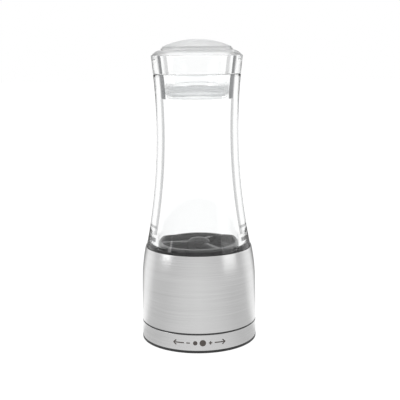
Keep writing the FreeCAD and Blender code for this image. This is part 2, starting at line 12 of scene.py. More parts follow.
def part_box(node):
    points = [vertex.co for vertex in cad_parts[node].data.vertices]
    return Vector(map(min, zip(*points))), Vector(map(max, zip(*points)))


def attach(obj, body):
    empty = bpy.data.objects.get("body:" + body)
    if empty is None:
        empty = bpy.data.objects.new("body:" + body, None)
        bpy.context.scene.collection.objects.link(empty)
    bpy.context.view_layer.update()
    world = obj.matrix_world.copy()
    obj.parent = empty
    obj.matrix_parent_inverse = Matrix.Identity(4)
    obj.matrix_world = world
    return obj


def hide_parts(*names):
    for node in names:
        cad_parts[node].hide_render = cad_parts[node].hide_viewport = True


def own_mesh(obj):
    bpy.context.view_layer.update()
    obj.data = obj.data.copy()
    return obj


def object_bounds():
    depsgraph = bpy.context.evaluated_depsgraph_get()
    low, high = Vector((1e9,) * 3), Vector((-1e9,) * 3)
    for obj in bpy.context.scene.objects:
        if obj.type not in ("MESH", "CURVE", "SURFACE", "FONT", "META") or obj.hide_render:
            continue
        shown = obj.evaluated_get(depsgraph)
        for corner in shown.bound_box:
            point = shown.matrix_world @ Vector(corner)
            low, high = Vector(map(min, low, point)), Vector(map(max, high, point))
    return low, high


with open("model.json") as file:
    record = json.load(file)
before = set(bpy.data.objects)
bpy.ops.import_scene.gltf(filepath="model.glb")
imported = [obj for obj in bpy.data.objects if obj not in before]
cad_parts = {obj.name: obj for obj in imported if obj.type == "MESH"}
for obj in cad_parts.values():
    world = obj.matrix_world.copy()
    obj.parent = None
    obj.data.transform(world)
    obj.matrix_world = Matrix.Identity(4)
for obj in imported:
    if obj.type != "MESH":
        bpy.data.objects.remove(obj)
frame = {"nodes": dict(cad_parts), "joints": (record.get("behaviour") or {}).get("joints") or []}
CAD_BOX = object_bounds()

bl_info = {
    "name": "Pepper Mill",
    "version": (1, 0, 0),
    "blender": (4, 5, 0),
    "location": "View3D > Sidebar > Pepper Mill",
    "description": "Builds the clear pepper mill round its construction frame",
    "category": "Object",
}

MM = 0.001
SMOOTH_ANGLE = math.radians(30.0)
AXIS_REACH = 1e-6
MERGE_REACH = 2e-6
STATION_SAG = 0.3           # where a small rounded edge is cut, as a share of its reach
FLARE_STEPS = 64
BORE_STEPS = 36

# Sizes of the construction that its boxes don't tell
FLANGE_HEIGHT = 3.1 * MM
SHOULDER_DROP = 1.4 * MM
SEAM_GAP = 0.15 * MM
CAP_SIDE = 9.8 * MM
CORNER_ROUND = 0.6 * MM
CORNER_RISE = 0.3 * MM
CORNER_SAG = 0.18 * MM
SHOULDER_SAG = 1.0 * MM
SEAT_PLAY = 0.05 * MM
SEAT_EDGE = 0.3 * MM
PLUG_GAP = 1.4 * MM
PLUG_ROUND = 0.95 * MM
PLUG_SAG = 0.27 * MM
PLUG_FLOOR = 6.9 * MM
PLUG_WALL = 4.85 * MM
SEAL_GROOVE = 1.45 * MM
SEAL_REACH = 0.55 * MM
SEAL_PLAY = 0.04 * MM
CAVITY_STEP = 2.2 * MM
CAVITY_FLARE = 1.1 * MM
CAVITY_STEP_HEIGHT = 1.0 * MM
LENS_STEP = 0.9 * MM
DOME_INSET = 0.8 * MM
DOME_START = 0.8 * MM
SLEEVE_WALL = 0.4 * MM
SLEEVE_BELT_HEIGHT = 23.2 * MM
BELT_DRAW = 0.35 * MM
BOW_DRAW = 0.95 * MM
RIM_DRAW = 2.4 * MM
SLEEVE_EDGE = 0.15 * MM
BAND_WALL = 0.65 * MM
BAND_EDGE = 0.18 * MM

# Shading of the clear pieces: softness of the painted shade stripes, mist and clear colour
BAND_SOFTNESS = 0.7 * MM
BAND_CRISPNESS = 0.3 * MM
LEVEL_SOFTNESS = 0.4 * MM
CAP_MIST = 0.32
DOME_MIST = 0.3
CLEAR = (0.985, 0.99, 0.99, 1.0)


# ---------------------------------------------------------------- places from the frame

def low(node):
    """Lowest corner of a construction node."""
    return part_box(node)[0]


def high(node):
    """Highest corner of a construction node."""
    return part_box(node)[1]


def outer_radius(node):
    return high(node).x


# ---------------------------------------------------------------- shader expressions

class Signal:
    """A node's output. Arithmetic on it adds Math nodes to the finish that it belongs to."""

    def __init__(self, finish, socket):
        self.finish = finish
        self.socket = socket

    def math(self, operation, *values, clamp=False):
        inputs = dict(enumerate((self,) + values))
        settings = {"operation": operation, "use_clamp": clamp}
        return self.finish.node("ShaderNodeMath", settings, inputs).out()

    def __add__(self, other):
        return self.math("ADD", other)

    def __sub__(self, other):
        return self.math("SUBTRACT", other)

    def __mul__(self, other):
        return self.math("MULTIPLY", other)

    def __truediv__(self, other):
        return self.math("DIVIDE", other)

    def __rsub__(self, other):
        return (self * -1.0) + other

    __radd__ = __add__
    __rmul__ = __mul__

    def between(self, start, end):
        """0 below start, 1 above end, smooth in the middle."""
        settings = {"interpolation_type": "SMOOTHSTEP"}
        values = {"Value": self, "From Min": start, "From Max": end}
        return self.finish.node("ShaderNodeMapRange", settings, values).out()


class Placed:
    """A node that has been added to a finish."""

    def __init__(self, finish, node):
        self.finish = finish
        self.raw = node

    def out(self, name=0):
        return Signal(self.finish, self.raw.outputs[name])


class Finish:
    """A node tree of one material or of the world, with the few calls that build it."""

    def __init__(self, owner):
        owner.use_nodes = True
        self.owner = owner
        self.tree = owner.node_tree
        self.tree.nodes.clear()

    def node(self, kind, settings=None, values=None):
        """Adds a node, sets its settings first, then the values or links of its sockets."""
        raw = self.tree.nodes.new(kind)
        for name, value in (settings or {}).items():
            if name == "stops":
                self.set_stops(raw.color_ramp, value)
            else:
                setattr(raw, name, value)
        for name, value in (values or {}).items():
            if isinstance(value, Signal):
                self.tree.links.new(value.socket, raw.inputs[name])
            else:
                raw.inputs[name].default_value = value
        return Placed(self, raw)

    def set_stops(self, ramp, stops):
        while len(ramp.elements) < len(stops):
            ramp.elements.new(0.5)
        for element, (place, colour) in zip(ramp.elements, stops):
            element.position = place
            element.color = (*colour, 1.0)

    def place(self):
        """Position on the piece, in metres."""
        return self.node("ShaderNodeTexCoord").out("Object")

    def split(self, vector):
        parts = self.node("ShaderNodeSeparateXYZ", values={0: vector})
        return parts.out("X"), parts.out("Y"), parts.out("Z")

    def join(self, x, y, z):
        return self.node("ShaderNodeCombineXYZ", values={"X": x, "Y": y, "Z": z}).out()

    def noise(self, vector, scale, detail=2.0, roughness=0.5):
        values = {"Vector": vector, "Scale": scale, "Detail": detail, "Roughness": roughness}
        return self.node("ShaderNodeTexNoise", {"noise_dimensions": "3D"}, values).out("Fac")

    def blend(self, factor, first, second):
        values = {0: factor, 6: first, 7: second}
        return self.node("ShaderNodeMix", {"data_type": "RGBA"}, values).out(2)

    def bump(self, height, distance, strength=1.0):
        values = {"Height": height, "Distance": distance, "Strength": strength}
        return self.node("ShaderNodeBump", values=values).out()

    def surface(self, **values):
        """Ends the finish in a Principled surface; names use _ for the spaces in socket names."""
        sockets = {name.replace("_", " "): value for name, value in values.items()}
        shader = self.node("ShaderNodeBsdfPrincipled", {"distribution": "MULTI_GGX"}, sockets)
        self.node("ShaderNodeOutputMaterial", values={"Surface": shader.out()})
        return self.owner


def colour(rgb, alpha=1.0):
    return (rgb[0], rgb[1], rgb[2], alpha)


def new_finish(name):
    return Finish(bpy.data.materials.new(name))


# ---------------------------------------------------------------- finishes

def clear_acrylic(name, haze, tint, painted_shade_bands=(), shade=CLEAR[:3], skin=None):
    """Polished clear acrylic with the faintest rub haze, and painted shade that greys it where it is seen
    edge on.

    Each band is a painted shade stripe, upright on the outside where a tube's wall bends the view most, in
    place of the dark line that refraction shows there. Its two ends are depths in from the silhouette, crisp
    at the deeper end. It follows from how squarely the side is seen. The skin is the outside, as waist
    radius, waist height and bend of its flare."""
    finish = new_finish(name)
    place = finish.place()
    rub = finish.noise(place, 90.0, detail=5.0, roughness=0.65)
    facing = finish.node("ShaderNodeLayerWeight", values={"Blend": 0.5}).out("Facing")
    # Painted edge shade: the colour greys to the tint where the side is seen edge on.
    tone = finish.blend(facing.between(0.8, 1.0), CLEAR, colour(tint))
    if painted_shade_bands:
        x, y, z = finish.split(place)
        waist, waist_z, bend = skin
        rise = z - waist_z
        radius = (x * x + y * y).math("SQRT")
        outside = (radius - (rise * rise) / (2.0 * bend)).between(waist - 1.2 * MM, waist - 0.8 * MM)
        squareness = 1.0 - facing
        depth = radius * (1.0 - (1.0 - squareness * squareness).math("SQRT"))
        for shallow, deep, low_z, high_z, strength in painted_shade_bands:
            painted_stripe = depth.between(shallow - BAND_SOFTNESS, shallow + BAND_SOFTNESS)
            painted_stripe = painted_stripe * (1.0 - depth.between(deep, deep + BAND_CRISPNESS))
            level = z.between(low_z, low_z + LEVEL_SOFTNESS)
            level = level * (1.0 - z.between(high_z, high_z + LEVEL_SOFTNESS))
            # Each stripe paints shade into the colour, in place of a dark line of refraction.
            tone = finish.blend(painted_stripe * level * outside * strength, tone, colour(shade))
    return finish.surface(
        Base_Color=tone, Roughness=haze_level(finish, place, rub, haze), IOR=1.49,
        Transmission_Weight=1.0, Specular_IOR_Level=0.5)


def haze_level(finish, place, rub, haze):
    """Roughness of a polished face: rub marks, and mist above a height where there is some."""
    marks = rub.between(0.55, 0.9) * 0.02
    if not haze:
        return marks
    mist, mist_z = haze
    x, y, z = finish.split(place)
    return marks + z.between(mist_z - LEVEL_SOFTNESS, mist_z + LEVEL_SOFTNESS) * mist


def brushed_steel(name, rgb, grain, roughness):
    """Steel brushed round the axis: fine long lines, with only a breath of broader ones."""
    finish = new_finish(name)
    x, y, z = finish.split(finish.place())
    fine = finish.noise(finish.join(x * 25.0, y * 25.0, z * grain), 1.0, detail=2.0, roughness=0.6)
    broad = finish.noise(finish.join(x * 18.0, y * 18.0, z * grain * 0.2), 1.0, detail=2.0)
    cloud = finish.noise(finish.place(), 35.0, detail=2.0)
    shade = fine * 0.88 + broad * 0.12
    tone = finish.blend(shade.between(0.25, 0.75), colour([c * 0.84 for c in rgb]), colour(rgb))
    rough = roughness + (fine - 0.5) * 0.08 + (cloud - 0.5) * 0.04
    return finish.surface(
        Base_Color=tone, Metallic=1.0, Roughness=rough,
        Normal=finish.bump(fine * 0.94 + broad * 0.06, 0.00002, 0.45))


def moulded_black(name, rgb, roughness, grain, shine):
    """Black moulding with a fine spark-eroded grain and faint flow marks."""
    finish = new_finish(name)
    place = finish.place()
    pebble = finish.noise(place, grain, detail=3.0, roughness=0.6)
    flow = finish.noise(place, 60.0, detail=2.0)
    tone = finish.blend(flow.between(0.3, 0.7), colour(rgb), colour([c * 1.5 for c in rgb]))
    return finish.surface(
        Base_Color=tone, Roughness=roughness + (pebble - 0.5) * 0.12, Specular_IOR_Level=shine,
        Normal=finish.bump(pebble, 0.00002, 0.35))


def fired_ceramic(name, rgb):
    """Unglazed technical ceramic with a few dark specks."""
    finish = new_finish(name)
    place = finish.place()
    speck = finish.noise(place, 2600.0, detail=1.0).between(0.68, 0.74)
    cloud = finish.noise(place, 220.0, detail=3.0)
    body = finish.blend(cloud, colour([c * 0.93 for c in rgb]), colour(rgb))
    tone = finish.blend(speck * 0.5, body, (0.45, 0.42, 0.38, 1.0))
    return finish.surface(
        Base_Color=tone, Roughness=0.5 + (cloud - 0.5) * 0.15,
        Normal=finish.bump(cloud, 0.00003, 0.4))


def bright_metal(name, rgb, roughness, grain):
    """Ground or drawn steel with small scratches all round."""
    finish = new_finish(name)
    place = finish.place()
    scratch = finish.noise(place, grain, detail=4.0, roughness=0.7)
    tone = finish.blend(scratch, colour([c * 0.85 for c in rgb]), colour(rgb))
    return finish.surface(
        Base_Color=tone, Metallic=1.0, Roughness=roughness + (scratch - 0.5) * 0.15,
        Normal=finish.bump(scratch, 0.00002, 0.3))


def soft_silicone(name, rgb):
    """Milky translucent silicone, slightly dusty on its lips."""
    finish = new_finish(name)
    dust = finish.noise(finish.place(), 400.0, detail=3.0)
    tone = finish.blend(dust, colour([c * 0.97 for c in rgb]), colour(rgb))
    return finish.surface(
        Base_Color=tone, Roughness=0.25 + (dust - 0.5) * 0.1, IOR=1.12, Transmission_Weight=1.0,
        Normal=finish.bump(dust, 0.00001, 0.2))


def pale_plastic(name, rgb):
    """Smooth unpigmented engineering plastic."""
    finish = new_finish(name)
    cloud = finish.noise(finish.place(), 300.0, detail=2.0)
    tone = finish.blend(cloud, colour([c * 0.95 for c in rgb]), colour(rgb))
    return finish.surface(
        Base_Color=tone, Roughness=0.38 + (cloud - 0.5) * 0.1, Normal=finish.bump(cloud, 0.00001, 0.3))


def pad_ink(name, rgb):
    """Pad-printed ink, a little thinner where the brushing shows through."""
    finish = new_finish(name)
    x, y, z = finish.split(finish.place())
    thin = finish.noise(finish.join(x * 60.0, y * 60.0, z * 5000.0), 1.0, detail=2.0)
    tone = finish.blend(thin.between(0.45, 0.8), colour(rgb), colour([c * 1.8 for c in rgb]))
    return finish.surface(
        Base_Color=tone, Roughness=0.45 + (thin - 0.5) * 0.1, Normal=finish.bump(thin, 0.00001, 0.4))


# ---------------------------------------------------------------- outlines turned about the axis

def bow(start, through, end, count):
    """Stations along the arc from start to end that passes through a middle point, without start."""
    (ax, ay), (bx, by), (cx, cy) = start, through, end
    turn = 2.0 * (ax * (by - cy) + bx * (cy - ay) + cx * (ay - by))
    a2, b2, c2 = ax * ax + ay * ay, bx * bx + by * by, cx * cx + cy * cy
    ux = (a2 * (by - cy) + b2 * (cy - ay) + c2 * (ay - by)) / turn
    uy = (a2 * (cx - bx) + b2 * (ax - cx) + c2 * (bx - ax)) / turn
    radius = math.hypot(ax - ux, ay - uy)
    first = math.atan2(ay - uy, ax - ux)
    middle = math.atan2(by - uy, bx - ux)
    last = math.atan2(cy - uy, cx - ux)
    sweep = (last - first) % (2 * math.pi)
    if (middle - first) % (2 * math.pi) > sweep:
        sweep -= 2 * math.pi
    return [(ux + radius * math.cos(first + sweep * k / count),
             uy + radius * math.sin(first + sweep * k / count)) for k in range(1, count + 1)]


def crown(edge, pole_z, count):
    """Stations of a dome from its edge to the axis, level at the axis, without the edge."""
    edge_r, edge_z = edge
    rise = pole_z - edge_z
    ball_r = (edge_r ** 2 + rise ** 2) / (2.0 * abs(rise))
    side = math.copysign(1.0, rise)
    stations = []
    for k in range(1, count + 1):
        radius = edge_r * (1.0 - k / count)
        stations.append((radius, pole_z - side * (ball_r - math.sqrt(ball_r ** 2 - radius ** 2))))
    return stations


def softened(before, corner, after, radius, count=4):
    """Stations that round a corner of an outline with arcs of the given reach."""
    def toward(end):
        dx, dy = end[0] - corner[0], end[1] - corner[1]
        length = math.hypot(dx, dy)
        return (corner[0] + dx / length * radius, corner[1] + dy / length * radius)
    start, end = toward(before), toward(after)
    stations = []
    for k in range(count + 1):
        t = k / count
        stations.append(tuple(start[i] * (1 - t) ** 2 + corner[i] * 2 * t * (1 - t) + end[i] * t * t
                              for i in (0, 1)))
    return stations


def rounded(outline, radius, count=4):
    """Closed outline with every corner softened."""
    stations = []
    for k, corner in enumerate(outline):
        stations += softened(outline[k - 1], corner, outline[(k + 1) % len(outline)], radius, count)
    return stations


def deselect_all():
    bpy.ops.object.select_all(action="DESELECT")


def lathe(name, outline, sides, closed):
    """Draws a ring up and round an outline of (radius, height) stations.

    A closed outline comes back to its first station. An open one starts on a flat disc and may end on
    the axis."""
    deselect_all()
    radius, height = outline[0]
    fill = "NOTHING" if closed else "NGON"
    bpy.ops.mesh.primitive_circle_add(
        vertices=sides, radius=radius, fill_type=fill, location=(0, 0, height))
    piece = bpy.context.object
    piece.name = name
    piece.data.name = name
    bpy.ops.object.transform_apply(location=True, rotation=True, scale=True)
    bpy.ops.object.mode_set(mode="EDIT")
    bpy.ops.mesh.select_mode(type="EDGE" if closed else "FACE")
    bpy.ops.mesh.select_all(action="SELECT")
    steps = outline[1:] + outline[:1] if closed else outline[1:]
    for next_radius, next_height in steps:
        lift = {"value": (0, 0, next_height - height)}
        bpy.ops.mesh.extrude_region_move(TRANSFORM_OT_translate=lift)
        if next_radius < AXIS_REACH:
            bpy.ops.mesh.merge(type="CENTER")
            break
        factor = next_radius / radius
        bpy.ops.transform.resize(value=(factor, factor, 1), center_override=(0, 0, next_height))
        radius, height = next_radius, next_height
    bpy.ops.mesh.select_all(action="SELECT")
    bpy.ops.mesh.remove_doubles(threshold=MERGE_REACH)
    bpy.ops.mesh.normals_make_consistent(inside=False)
    bpy.ops.object.mode_set(mode="OBJECT")
    bpy.ops.object.shade_smooth_by_angle(angle=SMOOTH_ANGLE)
    return piece


def dress(piece, material, body, node):
    """Gives a new piece its finish and its body, and hides the construction node that it stands for."""
    piece.data.materials.clear()
    piece.data.materials.append(material)
    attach(piece, body)
    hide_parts(node)


def refinish(node, material):
    """Gives a construction node a finish of this file."""
    piece = frame["nodes"][node]
    piece.data.materials.clear()
    piece.data.materials.append(material)


# ---------------------------------------------------------------- the flare shared by body and cap

def flare_radius(sizes, waist, z):
    """Radius of a flared surface at height z: slimmest at the waist, an arc both ways."""
    rise = z - waist_level(sizes)
    bend = flare_bend(sizes)
    return waist + bend - math.sqrt(bend ** 2 - rise ** 2)


def flare_bend(sizes):
    """Radius of the arc down the side, from the waist and the body's edge at the sleeve's rim."""
    reach = outer_radius("clear_body") - sizes.waist
    return (sizes.waist_height ** 2 + reach ** 2) / (2 * reach)


def waist_level(sizes):
    return high("steel_sleeve").z + sizes.waist_height


def flare_stations(sizes, waist, start_z, end_z, count):
    """Stations up or down the flare, without the first."""
    levels = [start_z + (end_z - start_z) * k / count for k in range(1, count + 1)]
    return [(flare_radius(sizes, waist, z), z) for z in levels]


def plug_radius(sizes):
    return sizes.waist - sizes.wall - PLUG_GAP


# ---------------------------------------------------------------- settings

class MillSizes(bpy.types.PropertyGroup):
    """Sizes of the turned pieces, in metres."""
    sides: IntProperty(name="Sides", description="Sides of a turned piece", default=192, min=24)
    waist_height: FloatProperty(
        name="Waist height", description="Waist above the sleeve's rim", default=0.0642, unit="LENGTH")
    waist: FloatProperty(
        name="Waist", description="Slimmest radius of the clear body", default=0.0223, unit="LENGTH")
    wall: FloatProperty(
        name="Wall", description="Wall of the clear body", default=0.00425, unit="LENGTH")
    neck_draw: FloatProperty(
        name="Neck", description="Neck inside the body's edge at the rim", default=0.001, unit="LENGTH")
    snap_reach: FloatProperty(
        name="Snap flange", description="Flange standing out past the neck", default=0.0008, unit="LENGTH")
    low_wall: FloatProperty(
        name="Low wall", description="Wall between the lower bore and the neck", default=0.0049,
        unit="LENGTH")
    spring_wire: FloatProperty(
        name="Spring wire", description="Thickness of the spring's wire", default=0.0008, unit="LENGTH")
    spring_turns: FloatProperty(name="Spring turns", description="Turns of the spring", default=3.5)
    spring_steps: IntProperty(name="Spring steps", description="Steps in a turn of the spring", default=32)
    spring_play: FloatProperty(
        name="Spring play", description="Gap between the spring and its seat", default=0.00005,
        unit="LENGTH")
    edge: FloatProperty(
        name="Broken edge", description="Rounding of the polished edges", default=0.00025, unit="LENGTH")


class MillColours(bpy.types.PropertyGroup):
    """Colours of the finishes."""
    steel: FloatVectorProperty(
        name="Steel", description="Brushed steel", subtype="COLOR", default=(0.60, 0.60, 0.60))
    black: FloatVectorProperty(
        name="Black", description="Black mouldings", subtype="COLOR", default=(0.016, 0.016, 0.017))
    # Painted shade: clear plastic greyed where it is seen edge on.
    painted_edge_shade: FloatVectorProperty(
        name="Edge tint", description="Clear plastic seen edge on", subtype="COLOR",
        default=(0.86, 0.87, 0.88))
    # Painted shade: the dome greyed blue where it is seen edge on.
    painted_dome_shade: FloatVectorProperty(
        name="Dome tint", description="Dome seen edge on", subtype="COLOR", default=(0.75, 0.79, 0.83))
    # Painted shade: dark stripes on the clear walls, in place of lines of refraction.
    painted_wall_shade: FloatVectorProperty(
        name="Wall tint", description="Wall of the clear body beside the edge of its bore", subtype="COLOR",
        default=(0.05, 0.052, 0.054))
    silicone: FloatVectorProperty(
        name="Silicone", description="Seal ring", subtype="COLOR", default=(0.80, 0.805, 0.81))
    ceramic: FloatVectorProperty(
        name="Ceramic", description="Burr", subtype="COLOR", default=(0.84, 0.82, 0.77))
    ink: FloatVectorProperty(
        name="Ink", description="Printed marks", subtype="COLOR", default=(0.055, 0.045, 0.04))


class MillStage(bpy.types.PropertyGroup):
    """Camera and light."""
    distance: FloatProperty(
        name="Distance", description="Camera in front of the axis", default=0.4536, unit="LENGTH")
    height: FloatProperty(
        name="Height", description="Camera above the table", default=0.1588, unit="LENGTH")
    side: FloatProperty(name="Side", description="Camera beside the axis", default=0.00103, unit="LENGTH")
    tilt: FloatProperty(
        name="Tilt", description="Camera below level", default=math.radians(10.17), unit="ROTATION")
    roll: FloatProperty(
        name="Roll", description="Camera turned about its view", default=math.radians(-0.514),
        unit="ROTATION")
    lens: FloatProperty(name="Lens", description="Focal length", default=74.75, unit="CAMERA")
    key_power: FloatProperty(
        name="Key", description="Power of the left softbox", default=2.2, unit="POWER")
    fill_power: FloatProperty(
        name="Fill", description="Power of the right softbox", default=1.0, unit="POWER")
    top_power: FloatProperty(
        name="Top", description="Power of the top light", default=1.4, unit="POWER")


# ---------------------------------------------------------------- pieces

class MILL_OT_chamber(bpy.types.Operator):
    """Turn the clear body"""
    bl_idname = "mill.chamber"
    bl_label = "Clear Body"

    def execute(self, context):
        sizes = context.scene.mill_sizes
        node = "clear_body"
        foot_z, joint_z = low(node).z, high(node).z
        rim_z = high("steel_sleeve").z
        rim_r = outer_radius(node)
        neck_r = rim_r - sizes.neck_draw
        flange_r = neck_r + sizes.snap_reach
        low_bore_r = neck_r - sizes.low_wall
        flange_top_z = foot_z + FLANGE_HEIGHT
        shoulder_z = rim_z - SHOULDER_DROP
        bore_r = sizes.waist - sizes.wall
        waist_z = waist_level(sizes)
        bend = flare_bend(sizes)
        low_bore_z = waist_z - math.sqrt(bend ** 2 - (bend - low_bore_r + bore_r) ** 2)
        joint_r = flare_radius(sizes, sizes.waist, joint_z)
        edge = sizes.edge
        outline = [(low_bore_r, foot_z), (flange_r - edge, foot_z), (flange_r, foot_z + edge),
                   (flange_r, flange_top_z), (neck_r, flange_top_z), (neck_r, shoulder_z),
                   (rim_r - edge, shoulder_z), (rim_r, shoulder_z + edge), (rim_r, rim_z)]
        outline += flare_stations(sizes, sizes.waist, rim_z, joint_z - edge, FLARE_STEPS)
        sag = edge * STATION_SAG
        outline += [(joint_r - sag, joint_z - sag), (joint_r - edge, joint_z)]
        outline += [(bore_r + edge, joint_z), (bore_r + sag, joint_z - sag), (bore_r, joint_z - edge)]
        outline += [(bore_r, waist_z)] + flare_stations(sizes, bore_r, waist_z, low_bore_z, BORE_STEPS)
        piece = lathe("chamber_wall", outline, sizes.sides, closed=True)
        colours = context.scene.mill_colours
        plug_z = low("cap_stopper").z
        # Painted shade stripes on the outside, in place of dark lines of refraction: two beside the bore's
        # edge, three low ones just above the sleeve's rim.
        painted_shade_bands = [(sizes.wall - 1.5 * MM, sizes.wall - 0.1 * MM, low_bore_z, plug_z, 0.75),
                 (sizes.wall - 1.2 * MM, sizes.wall + 1.2 * MM, plug_z, joint_z, 1.0),
                 (-MM, 3.6 * MM, rim_z + 11.7 * MM, rim_z + 13.2 * MM, 0.8),
                 (-MM, 4.0 * MM, rim_z + 4.7 * MM, rim_z + 6.9 * MM, 0.95),
                 (-MM, 4.0 * MM, rim_z + 1.4 * MM, rim_z + 2.2 * MM, 0.6)]
        material = clear_acrylic(
            "clear_body_acrylic", None, colours.painted_edge_shade, painted_shade_bands, colours.painted_wall_shade,
            (sizes.waist, waist_z, bend))
        dress(piece, material, "body", node)
        return {"FINISHED"}


class MILL_OT_stopper(bpy.types.Operator):
    """Turn the stopper, its dome and its seal"""
    bl_idname = "mill.stopper"
    bl_label = "Stopper"

    def execute(self, context):
        sizes = context.scene.mill_sizes
        colours = context.scene.mill_colours
        self.turn_cup(sizes, colours)
        self.turn_dome(sizes, colours)
        self.turn_seal(sizes, colours)
        return {"FINISHED"}

    def turn_cup(self, sizes, colours):
        node = "cap_stopper"
        edge = sizes.edge
        foot_z, shoulder_z = low(node).z, high(node).z
        joint_z = high("clear_body").z
        cap_low_z = joint_z + SEAM_GAP
        corner_z = joint_z + CAP_SIDE
        corner_r = flare_radius(sizes, sizes.waist, corner_z)
        low_r = flare_radius(sizes, sizes.waist, cap_low_z)
        plug_r = plug_radius(sizes)
        seal_low_z, seal_high_z = low("seal_ring").z, high("seal_ring").z
        core_r = plug_r - SEAL_GROOVE
        low_r_in = plug_r - PLUG_WALL
        mid_r_in = low_r_in + CAVITY_STEP
        top_r_in = mid_r_in + CAVITY_FLARE
        lens_r = outer_radius("dome_lens") + SEAT_PLAY
        lens_z = low("dome_lens").z
        step_z = joint_z + CAVITY_STEP_HEIGHT
        floor_z = foot_z + PLUG_FLOOR
        side_top_z = corner_z - CORNER_RISE
        outline = [(plug_r - PLUG_ROUND, foot_z)]
        outline += bow(outline[-1], (plug_r - PLUG_SAG, foot_z + PLUG_SAG), (plug_r, foot_z + PLUG_ROUND), 8)
        outline += [(plug_r, seal_low_z), (core_r, seal_low_z), (core_r, seal_high_z),
                    (plug_r, seal_high_z), (plug_r, cap_low_z), (low_r - edge, cap_low_z),
                    (low_r, cap_low_z + edge)]
        outline += flare_stations(sizes, sizes.waist, cap_low_z + edge, side_top_z, 12)
        outline += bow(outline[-1], (corner_r - CORNER_SAG, corner_z + CORNER_RISE - CORNER_SAG),
                       (corner_r - CORNER_ROUND, corner_z + CORNER_RISE), 6)
        shoulder_r = lens_r + SEAT_EDGE
        outline += bow(outline[-1], ((corner_r + shoulder_r) / 2, shoulder_z - SHOULDER_SAG),
                       (shoulder_r, shoulder_z), 12)
        outline += [(lens_r, shoulder_z), (lens_r, lens_z), (top_r_in, lens_z),
                    (mid_r_in, step_z + SEAT_EDGE), (mid_r_in, step_z), (low_r_in, step_z - SEAT_EDGE),
                    (low_r_in, floor_z + edge), (low_r_in - edge, floor_z), (0.0, floor_z)]
        piece = lathe("stopper_cup", outline, sizes.sides, closed=False)
        # Painted shade stripes on the stopper's side, in place of dark lines of refraction.
        painted_shade_bands = [(3.2 * MM, 4.9 * MM, cap_low_z, corner_z, 1.0),
                 (6.4 * MM, 8.2 * MM, cap_low_z, corner_z, 0.6)]
        material = clear_acrylic(
            "stopper_acrylic", (CAP_MIST, corner_z + 0.1 * MM), colours.painted_edge_shade, painted_shade_bands, colours.painted_wall_shade,
            (sizes.waist, waist_level(sizes), flare_bend(sizes)))
        dress(piece, material, "cap", node)

    def turn_dome(self, sizes, colours):
        node = "dome_lens"
        seat_z, pole_z = low(node).z, high(node).z
        lens_r = outer_radius(node)
        rim_z = high("cap_stopper").z + LENS_STEP
        dome_r = lens_r - DOME_INSET
        dome_z = rim_z + DOME_START
        edge = sizes.edge
        outline = [(lens_r - edge, seat_z), (lens_r, seat_z + edge), (lens_r, rim_z - edge),
                   (lens_r - edge, rim_z), (dome_r + edge, rim_z), (dome_r, dome_z)]
        outline += crown(outline[-1], pole_z, 30)
        piece = lathe("dome_cover", outline, sizes.sides, closed=False)
        # The dome's colour carries painted shade, greyed blue where it is seen edge on.
        material = clear_acrylic("dome_acrylic", (DOME_MIST, low(node).z), colours.painted_dome_shade)
        dress(piece, material, "cap", node)

    def turn_seal(self, sizes, colours):
        node = "seal_ring"
        low_z, high_z = low(node).z + SEAL_PLAY, high(node).z - SEAL_PLAY
        lip_r = outer_radius(node)
        plug_r = plug_radius(sizes)
        core_r, side_r = plug_r - SEAL_GROOVE + SEAT_PLAY, plug_r + SEAL_REACH
        middle_z = (low_z + high_z) / 2
        outline = [(core_r, low_z), (side_r, low_z)]
        outline += bow(outline[-1], (lip_r, (low_z + middle_z) / 2), (side_r, middle_z), 10)
        outline += bow(outline[-1], (lip_r, (high_z + middle_z) / 2), (side_r, high_z), 10)
        outline += [(core_r, high_z)]
        piece = lathe("seal_gasket", outline, sizes.sides, closed=True)
        dress(piece, soft_silicone("seal_silicone", colours.silicone), "cap", node)


class MILL_OT_steel(bpy.types.Operator):
    """Turn the steel sleeve and the steel band"""
    bl_idname = "mill.steel"
    bl_label = "Steel Covers"

    def execute(self, context):
        sizes = context.scene.mill_sizes
        colours = context.scene.mill_colours
        self.turn_sleeve(sizes, colours)
        self.turn_band(sizes, colours)
        return {"FINISHED"}

    def turn_sleeve(self, sizes, colours):
        node = "steel_sleeve"
        foot_z, rim_z = low(node).z, high(node).z
        foot_r = outer_radius(node)
        wall = SLEEVE_WALL
        belt = (foot_r - BELT_DRAW, foot_z + SLEEVE_BELT_HEIGHT)
        bow_z = (belt[1] + rim_z) / 2
        bow_r = foot_r - BOW_DRAW
        rim = (foot_r - RIM_DRAW, rim_z - wall / 2)
        outline = [(foot_r, foot_z + SLEEVE_EDGE), belt]
        outline += bow(belt, (bow_r, bow_z), rim, 28)
        outline += bow(rim, (rim[0] - wall / 2, rim_z), (rim[0] - wall, rim[1]), 8)
        outline += bow(outline[-1], (bow_r - wall, bow_z), (belt[0] - wall, belt[1]), 28)
        outline += [(foot_r - wall, foot_z), (foot_r - SLEEVE_EDGE, foot_z)]
        piece = lathe("sleeve_cover", outline, sizes.sides, closed=True)
        material = brushed_steel("sleeve_steel", colours.steel, 9000.0, 0.25)
        dress(piece, material, "base", node)

    def turn_band(self, sizes, colours):
        node = "adjuster_band"
        foot_z, top_z = low(node).z, high(node).z
        outer = outer_radius(node)
        inner = outer - BAND_WALL
        outline = rounded([(inner, foot_z), (outer, foot_z), (outer, top_z), (inner, top_z)], BAND_EDGE)
        piece = lathe("grind_band", outline, sizes.sides, closed=True)
        material = brushed_steel("band_steel", colours.steel, 9000.0, 0.25)
        dress(piece, material, "adjuster", node)


